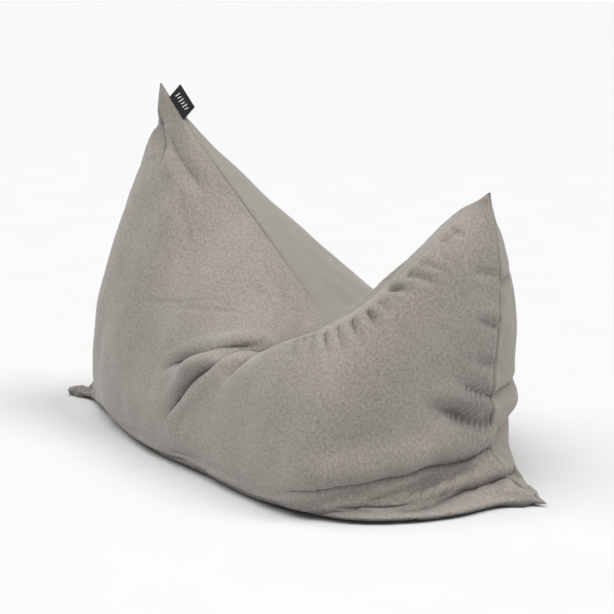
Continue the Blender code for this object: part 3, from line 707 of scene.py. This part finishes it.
def two_tones(tree, first, last):
    """Ramp between two colours, each given with its place."""
    ramp = add(tree, "ShaderNodeValToRGB")
    for stop, (place, colour) in zip(ramp.color_ramp.elements, (first, last)):
        stop.position = place
        stop.color = (*colour, 1)
    return ramp


WAVE_SCALE = 0.314               # a wave texture of this scale has bands one metre apart


def cloth_material(name, colour, dark, thread=0.0022, bump=0.35, sheen=0.35, fuzz=0.5):
    """Plain weave laid along the panel, with fuzz, slow changes of tone, and shade painted into the colour in
    nooks and creases.
    """
    look, tree = new_material(name)
    link = tree.links.new
    out = add(tree, "ShaderNodeOutputMaterial")
    shader = add(tree, "ShaderNodeBsdfPrincipled")
    for socket, value in (("Roughness", 0.92), ("Specular IOR Level", 0.18), ("Sheen Weight", sheen),
                          ("Sheen Roughness", 0.45), ("Sheen Tint", (0.95, 0.93, 0.90, 1))):
        shader.inputs[socket].default_value = value
    link(shader.outputs[0], out.inputs[0])
    place = add(tree, "ShaderNodeUVMap", uv_map="cloth")
    where = add(tree, "ShaderNodeTexCoord")
    warp = add(tree, "ShaderNodeTexWave", wave_type="BANDS", bands_direction="X", wave_profile="SIN")
    weft = add(tree, "ShaderNodeTexWave", wave_type="BANDS", bands_direction="Y", wave_profile="SIN")
    for wave in (warp, weft):
        for socket, value in (("Scale", WAVE_SCALE / thread), ("Distortion", 1.6), ("Detail", 2.0),
                              ("Detail Scale", 1.5)):
            wave.inputs[socket].default_value = value
        link(place.outputs[0], wave.inputs["Vector"])
    weave = add(tree, "ShaderNodeMath", operation="MULTIPLY")
    link(warp.outputs["Fac"], weave.inputs[0])
    link(weft.outputs["Fac"], weave.inputs[1])
    hair = add(tree, "ShaderNodeTexNoise", Scale=330.0, Detail=3.0, Roughness=0.7)
    mottle = add(tree, "ShaderNodeTexNoise", Scale=210.0, Detail=3.0, Roughness=0.65)
    tone = add(tree, "ShaderNodeTexNoise", Scale=5.0, Detail=3.0, Roughness=0.55)
    for noise in (hair, mottle, tone):
        link(where.outputs["Object"], noise.inputs["Vector"])
    height = add(tree, "ShaderNodeMath", operation="MULTIPLY_ADD")
    height.inputs[1].default_value = fuzz
    link(hair.outputs["Fac"], height.inputs[0])
    link(weave.outputs[0], height.inputs[2])
    relief = add(tree, "ShaderNodeBump", Strength=bump, Distance=0.0012)
    link(height.outputs[0], relief.inputs["Height"])
    link(relief.outputs[0], shader.inputs["Normal"])
    sum1 = add(tree, "ShaderNodeMath", operation="MULTIPLY_ADD")
    sum1.inputs[1].default_value = 0.35
    link(weave.outputs[0], sum1.inputs[0])
    sum2 = add(tree, "ShaderNodeMath", operation="MULTIPLY_ADD")
    sum2.inputs[1].default_value = 0.9
    link(mottle.outputs["Fac"], sum2.inputs[0])
    link(sum1.outputs[0], sum2.inputs[2])
    scaled = add(tree, "ShaderNodeMath", operation="MULTIPLY")
    scaled.inputs[1].default_value = 0.35
    link(tone.outputs["Fac"], scaled.inputs[0])
    link(scaled.outputs[0], sum1.inputs[2])
    ramp = two_tones(tree, (0.35, dark), (1.05, colour))
    link(sum2.outputs[0], ramp.inputs[0])
    # Painted shade: ambient occlusion darkens the base colour in nooks and creases.
    occlusion_shade = add(tree, "ShaderNodeAmbientOcclusion", Distance=0.045)
    occlusion_shade.samples = 6
    depth = add(tree, "ShaderNodeMapRange")
    depth.inputs["From Min"].default_value = 0.25
    depth.inputs["From Max"].default_value = 0.88
    depth.inputs["To Min"].default_value = 0.30
    link(occlusion_shade.outputs["AO"], depth.inputs["Value"])
    shade = add(tree, "ShaderNodeVectorMath", operation="SCALE")
    link(ramp.outputs[0], shade.inputs[0])
    link(depth.outputs[0], shade.inputs["Scale"])
    # Painted shade: the base colour is darkened along the deep folds, read from the crease attribute.
    crease_shade = add(tree, "ShaderNodeAttribute", attribute_name="crease_shade")
    keep = add(tree, "ShaderNodeMapRange")
    keep.inputs["To Min"].default_value = 1.0
    keep.inputs["To Max"].default_value = 0.22
    link(crease_shade.outputs["Fac"], keep.inputs["Value"])
    inner = add(tree, "ShaderNodeVectorMath", operation="SCALE")
    link(shade.outputs[0], inner.inputs[0])
    link(keep.outputs[0], inner.inputs["Scale"])
    link(inner.outputs[0], shader.inputs["Base Color"])
    return look


def plain_material(name, colour, dark, roughness, metallic=0.0, scale=300.0, bump=0.2, distance=0.0003):
    """Base for small pieces: speckled colour and a fine relief."""
    look, tree = new_material(name)
    link = tree.links.new
    out = add(tree, "ShaderNodeOutputMaterial")
    shader = add(tree, "ShaderNodeBsdfPrincipled")
    shader.inputs["Metallic"].default_value = metallic
    link(shader.outputs[0], out.inputs[0])
    where = add(tree, "ShaderNodeTexCoord")
    noise = add(tree, "ShaderNodeTexNoise", Scale=scale, Detail=4.0, Roughness=0.6)
    link(where.outputs["Object"], noise.inputs["Vector"])
    ramp = two_tones(tree, (0.35, dark), (0.65, colour))
    link(noise.outputs["Fac"], ramp.inputs[0])
    link(ramp.outputs[0], shader.inputs["Base Color"])
    spread = add(tree, "ShaderNodeMapRange")
    spread.inputs["To Min"].default_value = max(roughness - 0.08, 0.05)
    spread.inputs["To Max"].default_value = min(roughness + 0.08, 1.0)
    link(noise.outputs["Fac"], spread.inputs["Value"])
    link(spread.outputs[0], shader.inputs["Roughness"])
    relief = add(tree, "ShaderNodeBump", Strength=bump, Distance=distance)
    link(noise.outputs["Fac"], relief.inputs["Height"])
    link(relief.outputs[0], shader.inputs["Normal"])
    return look


front_cloth = cloth_material("cover_front_cloth", (0.345, 0.312, 0.282), (0.118, 0.107, 0.097))
back_cloth = cloth_material("cover_back_cloth", (0.275, 0.255, 0.224), (0.190, 0.176, 0.154),
                            0.0016, 0.16, 0.25, 0.25)
tape_look = plain_material("zipper_tape", (0.17, 0.16, 0.15), (0.12, 0.11, 0.10), 0.85, 0, 900, 0.4)
coil_look = plain_material("zipper_coil", (0.11, 0.105, 0.10), (0.08, 0.075, 0.07), 0.42, 0, 400, 0.1)
metal_look = plain_material("zipper_metal", (0.34, 0.33, 0.32), (0.26, 0.25, 0.245), 0.32, 1.0, 250, 0.05)
thread_look = plain_material("sewing_thread", (0.27, 0.245, 0.22), (0.19, 0.17, 0.155), 0.75, 0, 1500, 0.5)
ribbon_look = plain_material("label_ribbon", (0.010, 0.010, 0.011), (0.004, 0.004, 0.005), 0.85, 0, 1200, 0.4)
motif_look = plain_material("label_motif", (0.74, 0.74, 0.72), (0.60, 0.60, 0.58), 0.6, 0, 1400, 0.5)
patch_look = plain_material("patch_cloth", (0.27, 0.245, 0.22), (0.19, 0.172, 0.155), 0.9, 0, 900, 0.5)
care_look = plain_material("care_ribbon", (0.82, 0.82, 0.80), (0.74, 0.74, 0.72), 0.5, 0, 900, 0.3)
liner_look = plain_material("liner_cloth", (0.84, 0.84, 0.82), (0.76, 0.76, 0.74), 0.85, 0, 700, 0.3)
bead_look = plain_material("beads", (0.92, 0.92, 0.91), (0.80, 0.80, 0.79), 0.7, 0, 260, 0.9, 0.002)

COIL_SCALE = 174.0               # turns 1.8 mm apart
turns = add(coil_look.node_tree, "ShaderNodeTexWave", wave_type="BANDS", bands_direction="X",
            Scale=COIL_SCALE)
turns_place = add(coil_look.node_tree, "ShaderNodeTexCoord")
turns_relief = add(coil_look.node_tree, "ShaderNodeBump", Strength=1.0, Distance=0.0008)
coil_shader = [n for n in coil_look.node_tree.nodes if n.type == "BSDF_PRINCIPLED"][0]
coil_look.node_tree.links.new(turns_place.outputs["Object"], turns.inputs["Vector"])
coil_look.node_tree.links.new(turns.outputs["Fac"], turns_relief.inputs["Height"])
coil_look.node_tree.links.new(turns_relief.outputs[0], coil_shader.inputs["Normal"])

for name, thing in nodes.items():
    if "tape" in name:
        look = tape_look
    elif "coil" in name:
        look = coil_look
    elif "thread" in name:
        look = thread_look
    elif name.startswith("liner") and "panel" in name:
        look = liner_look
    elif name == "bead_filling":
        look = bead_look
    elif name == "care_label":
        look = care_look
    elif "patch" in name:
        look = patch_look
    elif name == "side_label":
        look = ribbon_look
    else:
        look = metal_look
    thing.data.materials.clear()
    thing.data.materials.append(look)


# ---- the cover ----

U = shares(320)
V = shares(230)
COARSE_U = shares(108, False)
COARSE_V = shares(78, False)


def near_path(points, path, width):
    return np.exp(-(on_path(points, path)[0] / width) ** 2)


def spare_cloth(points, side):
    """Where the cover has cloth to spare, from 0 to 1: seat, shoulder, right seam and base."""
    if side < 0:
        spots = [([(0.119, -0.223, 0.271), (0.245, -0.256, 0.314), (0.344, -0.25, 0.351),
                   (0.402, -0.194, 0.408), (0.453, -0.049, 0.518)], 0.05, 0.9),
                 ([(0.48, -0.10, 0.20), (0.51, -0.02, 0.17)], 0.06, 1.0),
                 ([(0.34, -0.32, 0.06), (0.47, -0.16, 0.08)], 0.05, 0.7),
                 ([(0.03, -0.25, 0.23), (-0.09, -0.25, 0.10)], 0.07, 0.7),
                 ([(-0.28, -0.03, 0.62), (-0.13, -0.05, 0.50)], 0.05, 0.5)]
    else:
        spots = [([(0.50, 0.08, 0.19), (0.46, 0.16, 0.15)], 0.07, 1.0),
                 ([(0.05, 0.29, 0.28), (0.16, 0.26, 0.24), (0.30, 0.24, 0.32)], 0.08, 1.0),
                 ([(0.51, 0.04, 0.42), (0.47, 0.12, 0.41)], 0.05, 0.6),
                 ([(-0.45, 0.15, 0.30), (-0.40, 0.25, 0.12)], 0.08, 0.5)]
    total = np.zeros(points.shape[:-1])
    for path, width, amount in spots:
        total = np.maximum(total, amount * near_path(points, path, width))
    return 0.12 + 0.88 * total


def holding(points):
    """How firmly the filling and seams keep the cloth in place."""
    hold = 0.30 + 0.45 * np.exp(-(seam_distance(points) / 0.02) ** 2)
    return np.clip(np.maximum(hold, on_wall(points)), 0, 1)


start_front, shape_front, shade_front = sculpted(-1, U, V)
start_back, shape_back, shade_back = sculpted(1, U, V)
shape_front, shape_back = join_seam(shape_front, shape_back, start_front, start_back)
coarse = [sculpted(side, COARSE_U, COARSE_V) for side in (-1, 1)]
coarse_front, coarse_back = join_seam(coarse[0][1], coarse[1][1], coarse[0][0], coarse[1][0])
moves = settle(coarse_front, coarse_back, spare_cloth(coarse_front, -1), spare_cloth(coarse_back, 1),
               holding(coarse_front), holding(coarse_back))
shape_front = shape_front + spread_out(moves[0], COARSE_U, COARSE_V, U, V)
shape_back = shape_back + spread_out(moves[1], COARSE_U, COARSE_V, U, V)

covers = ((-1, "cover_front", "cover_front_panel", front_cloth, shape_front, shade_front),
          (1, "cover_back", "cover_back_panel", back_cloth, shape_back, shade_back))
for side, name, node, look, points, shade in covers:
    thing = grid_mesh(name, finish_panel(points, side), U, V, side)
    # The crease attribute holds painted shade: the cloth material darkens its colour along the deep folds.
    crease_shade = thing.data.attributes.new("crease_shade", "FLOAT", "POINT")
    crease_shade.data.foreach_set("value", shade.astype(np.float32).ravel())
    thing.data.materials.append(look)
    if side > 0:
        cut_zipper(thing)
    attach(thing, "bag")
    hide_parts(node)


# ---- the thread inside the seam, and the label's woven strokes ----

THREAD_RADIUS = 0.0007
THREAD_INSET = 0.006
THREAD_LIFT = 0.002
THREAD_SMOOTHING = 12
rim = np.concatenate([shape_front[0], shape_front[1:, -1], shape_front[-1, -2::-1], shape_front[-2:0:-1, 0]])
rim = rim[::3]                   # every third point is enough for so fine a thread
ahead = np.roll(rim, -2, axis=0) - np.roll(rim, 2, axis=0)
inward = np.stack([-ahead[:, 2], np.zeros(len(rim)), ahead[:, 0]], -1)
inward = inward / np.maximum(np.linalg.norm(inward, axis=1), 1e-9)[:, None]
line = rim + inward * THREAD_INSET + (0, SEAM_Y, THREAD_LIFT)
for _ in range(THREAD_SMOOTHING):
    line = (np.roll(line, 1, axis=0) + 2 * line + np.roll(line, -1, axis=0)) / 4
curve = bpy.data.curves.new("cover_thread", "CURVE")
curve.dimensions = "3D"
curve.bevel_depth = THREAD_RADIUS
curve.bevel_resolution = 1
spline = curve.splines.new("POLY")
spline.points.add(len(line) - 1)
spline.points.foreach_set("co", np.concatenate([line, np.ones((len(line), 1))], 1).ravel())
spline.use_cyclic_u = True
curve_object = new_object("cover_thread", curve)
graph = bpy.context.evaluated_depsgraph_get()
thread_mesh = bpy.data.meshes.new_from_object(curve_object.evaluated_get(graph))
bpy.data.objects.remove(curve_object)
thread = new_object("cover_thread", thread_mesh)
thread.data.materials.clear()
thread.data.materials.append(thread_look)
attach(thread, "bag")
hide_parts("cover_seam_thread")

LABEL_ALONG = Vector((0.659, 0.0, -0.753))
LABEL_OUT = Vector((0.751, 0.0, 0.659))
STROKES = 6
STROKE_PITCH = 0.0074
STROKE_LENGTH = 0.0150
STROKE_WIDTH = 0.0022
STROKE_SLANT = 0.0035
STROKE_SHIFT = 0.001
SHORT_STROKE = 0.72
LABEL_PROUD = 0.00012
low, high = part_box("side_label")
label_middle = (low + high) / 2
corners = []
faces = []
for number in range(STROKES):
    for face in (0, 1):
        spot = (number - (STROKES - 1) / 2) * STROKE_PITCH
        middle = label_middle + LABEL_ALONG * spot + LABEL_OUT * STROKE_SHIFT
        middle.y = low.y - LABEL_PROUD if face == 0 else high.y + LABEL_PROUD
        half = STROKE_LENGTH / 2 * (SHORT_STROKE if number % 2 else 1.0)
        long = LABEL_OUT * half + LABEL_ALONG * STROKE_SLANT / 2
        wide = LABEL_ALONG * STROKE_WIDTH / 2
        first = len(corners)
        corners += [middle - long - wide, middle - long + wide, middle + long + wide, middle + long - wide]
        faces.append([first, first + 1, first + 2, first + 3][::1 if face else -1])
motif_mesh = bpy.data.meshes.new("label_strokes")
motif_mesh.from_pydata([tuple(c) for c in corners], [], faces)
motif = new_object("label_strokes", motif_mesh)
motif.data.materials.append(motif_look)
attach(motif, "bag")


# ---- topstitching beside the zipper and across its end patches ----

STITCH_PITCH = 0.0055
STITCH_LENGTH = 0.0040
STITCH_WIDTH = 0.0009
STITCH_SPACE = 0.0045
STITCH_ENDS = (0.004, 0.003)     # left free at the start and the end of a row
PATCH_MARGIN = 0.0035
X_AXIS = Vector((1, 0, 0))
Y_AXIS = Vector((0, 1, 0))
Z_AXIS = Vector((0, 0, 1))
wall_face = SEAM_Y + WALL + CLOTH + FACE
zip_middle = ZIP_HEIGHT + CLOTH / 2
places = []
for height in (zip_middle - SLOT / 2 - STITCH_SPACE, zip_middle + SLOT / 2 + STITCH_SPACE):
    for x in np.arange(-ZIP_LENGTH / 2 + STITCH_ENDS[0], ZIP_LENGTH / 2 - STITCH_ENDS[1], STITCH_PITCH):
        places.append((Vector((x, wall_face, height)), X_AXIS, Z_AXIS))
for patch in ("zipper_left_patch", "zipper_right_patch"):
    low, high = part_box(patch)
    middle = (low + high) / 2
    across = (high.x - low.x) / 2 - PATCH_MARGIN
    tall = (high.z - low.z) / 2 - PATCH_MARGIN
    face = high.y
    rows = ((0, tall, X_AXIS, Z_AXIS, across), (0, -tall, X_AXIS, Z_AXIS, across),
            (across, 0, Z_AXIS, X_AXIS, tall), (-across, 0, Z_AXIS, X_AXIS, tall))
    for x, z, along, side_way, reach in rows:
        count = max(int(2 * reach / STITCH_PITCH), 1)
        for step in range(count):
            spot = (step + 0.5) / count * 2 * reach - reach
            places.append((Vector((middle.x + x, face, middle.z + z)) + along * spot, along, side_way))
# No stitches are made where the pull comes to lie at the zipper's other end, because it would meet them.
PULL_TRAVEL = -0.472
PULL_ROOM = 0.004
pull_low, pull_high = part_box("cover_zipper_pull")


def under_pull(spot):
    return (pull_low.x + PULL_TRAVEL - PULL_ROOM < spot.x < pull_high.x + PULL_TRAVEL + PULL_ROOM
            and pull_low.z - PULL_ROOM < spot.z < pull_high.z + PULL_ROOM)


places = [place for place in places if not under_pull(place[0])]
stitches = stitch_row("cover_stitches", places, Y_AXIS, STITCH_LENGTH, STITCH_WIDTH)
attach(stitches, "bag")


# ---- camera, light and floor ----

CAMERA = Vector((1.9402, -2.3281 + SEAM_Y, 0.9258))
PITCH = math.radians(11.8)
HEADING = Vector((-0.62413, 0.78132, 0.0))
LENS = 87.95                     # millimetres, on a sensor 36 mm wide
FLOOR_HALF = 150
FLOOR_GAP = 0.0005
eye = bpy.data.cameras.new("camera")
eye.sensor_width = 36
eye.lens = LENS
camera = new_object("camera", eye)
camera.location = CAMERA
gaze = HEADING * math.cos(PITCH) - Vector((0, 0, math.sin(PITCH)))
camera.rotation_euler = gaze.to_track_quat("-Z", "Y").to_euler()
bpy.context.scene.camera = camera

floor_mesh = bpy.data.meshes.new("floor")
floor_mesh.from_pydata([(-FLOOR_HALF, -FLOOR_HALF, 0), (FLOOR_HALF, -FLOOR_HALF, 0),
                        (FLOOR_HALF, FLOOR_HALF, 0), (-FLOOR_HALF, FLOOR_HALF, 0)], [], [(0, 1, 2, 3)])
floor = new_object("floor", floor_mesh)
floor.location = (0, 0, -FLOOR_GAP)
floor_look = plain_material("floor_paint", (0.62, 0.62, 0.62), (0.61, 0.61, 0.61), 0.75, 0, 4, 0.0)
floor_mesh.materials.append(floor_look)


def soft_sun(name, source, strength, softness):
    """Even light from far away. Softness is the angle that it fills, in degrees."""
    data = bpy.data.lights.new(name, "SUN")
    data.energy = strength
    data.angle = math.radians(softness)
    lamp = new_object(name, data)
    lamp.rotation_euler = (-Vector(source)).to_track_quat("-Z", "Y").to_euler()


soft_sun("key", (0.80, 0.20, 1.00), 2.0, 30)
soft_sun("top", (-0.10, -0.45, 1.0), 2.9, 60)
world = bpy.data.worlds.new("studio")
bpy.context.scene.world = world
world.use_nodes = True
sky = world.node_tree.nodes["Background"]
sky_place = add(world.node_tree, "ShaderNodeTexCoord")
sky_height = add(world.node_tree, "ShaderNodeSeparateXYZ")
sky_ramp = two_tones(world.node_tree, (0.04, (1.0, 1.0, 1.0)), (0.22, (0.26, 0.26, 0.26)))
world.node_tree.links.new(sky_place.outputs["Generated"], sky_height.inputs[0])
world.node_tree.links.new(sky_height.outputs["Z"], sky_ramp.inputs[0])
world.node_tree.links.new(sky_ramp.outputs[0], sky.inputs["Color"])
sky.inputs["Strength"].default_value = 1.0
bpy.context.scene.view_settings.view_transform = "Standard"
